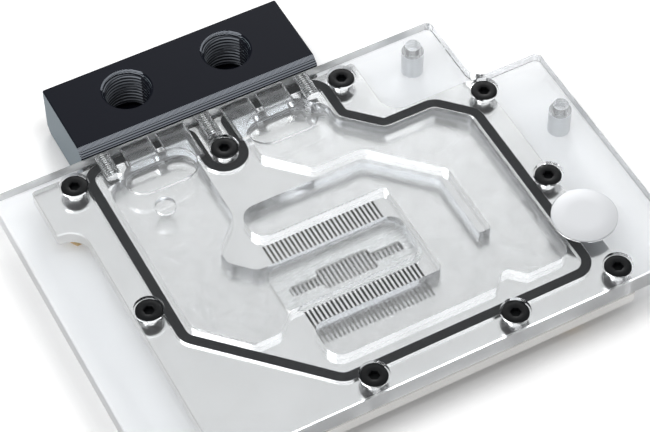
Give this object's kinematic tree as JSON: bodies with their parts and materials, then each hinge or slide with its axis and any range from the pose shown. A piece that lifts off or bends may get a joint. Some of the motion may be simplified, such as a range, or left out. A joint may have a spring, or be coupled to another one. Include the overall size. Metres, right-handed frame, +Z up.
{
  "type": "liquid cooling cold plate",
  "caption": "Graphics processor cold plate: finned nickel-plated base under a clear acrylic cover with milled channels, gasket and a threaded port terminal block.",
  "frame": {"origin": "centre of the contact face under the fins, where the plate meets the die", "axes": "+Z up, away from the die; +Y towards the terminal block; +X along the terminal block"},
  "size_m": [0.1488, 0.1245, 0.0157],
  "materials": {
    "nickel": "satin nickel plate on machined copper",
    "acrylic": "clear, polished outside, milled inside",
    "black_acetal": "machined matte",
    "rubber": "matte",
    "black_steel": "black zinc",
    "steel": "brushed",
    "badge_silver": "pale satin",
    "brass": "machined"
  },
  "bodies": {
    "root": {"base_plate": "nickel", "cover_plate": "acrylic", "main_gasket": "rubber", "jet_plate": "steel", "terminal_block": "black_acetal", "port_seal_left": "rubber", "port_seal_right": "rubber", "badge": "badge_silver", "cover_screw_1": "black_steel", "cover_screw_2": "black_steel", "cover_screw_3": "black_steel", "cover_screw_4": "black_steel", "cover_screw_5": "black_steel", "cover_screw_6": "black_steel", "cover_screw_7": "black_steel", "cover_screw_8": "black_steel", "cover_screw_9": "black_steel", "terminal_screw_1": "steel", "terminal_screw_2": "steel", "terminal_screw_3": "steel", "standoff_1": "brass", "standoff_2": "brass", "standoff_3": "brass", "standoff_4": "brass", "standoff_5": "brass", "standoff_6": "brass", "standoff_7": "brass"}
  },
  "joints": []
}
